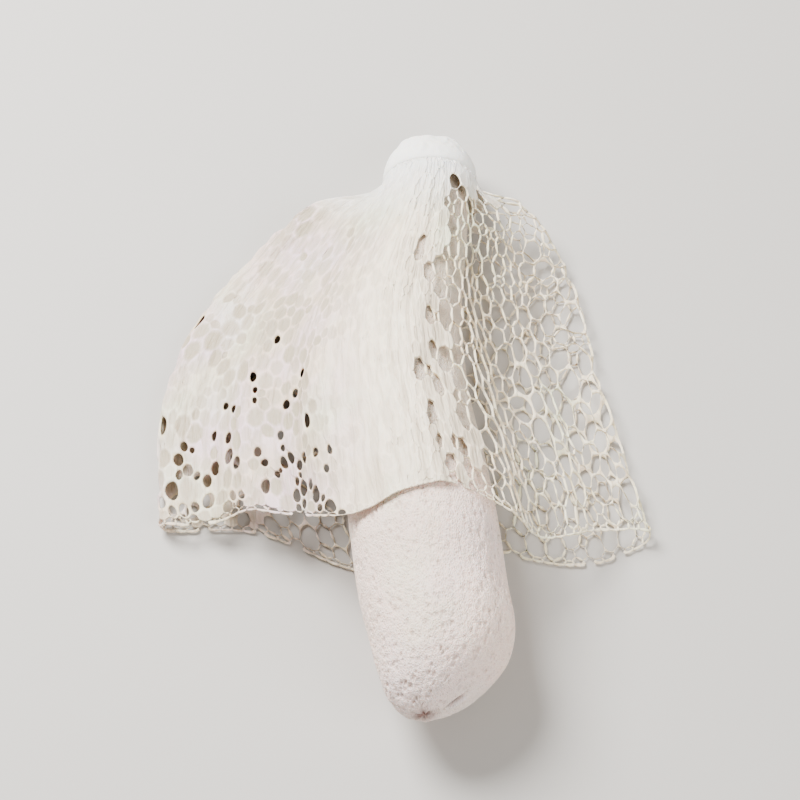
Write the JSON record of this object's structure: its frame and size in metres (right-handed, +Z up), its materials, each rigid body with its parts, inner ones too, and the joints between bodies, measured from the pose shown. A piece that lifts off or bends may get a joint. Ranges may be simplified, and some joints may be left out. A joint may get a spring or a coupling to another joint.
{
  "type": "bamboo fungus",
  "caption": "Picked bamboo fungus lying on its side: spongy white stem with a rounded base, small washed cap and a lace veil draped over the stem.",
  "frame": {"origin": "middle of the underside of the bounding box, on the surface that the fungus lies on", "axes": "+Z up from that surface, +Y along the stem from its base to its cap, +X to the right when looking from the base to the cap"},
  "size_m": [0.1228, 0.1674, 0.0395],
  "materials": {
    "stem": "matt white sponge with fine pits, a little pink towards its base, and a small brown scar there",
    "cap": "matt white, washed clean, with a low raised net",
    "veil": "moist cream-white lace of soft rounded strands, a little see-through where it is thin"
  },
  "bodies": {
    "root": {"stem": "stem", "cap": "cap", "veil": "veil"}
  },
  "joints": []
}
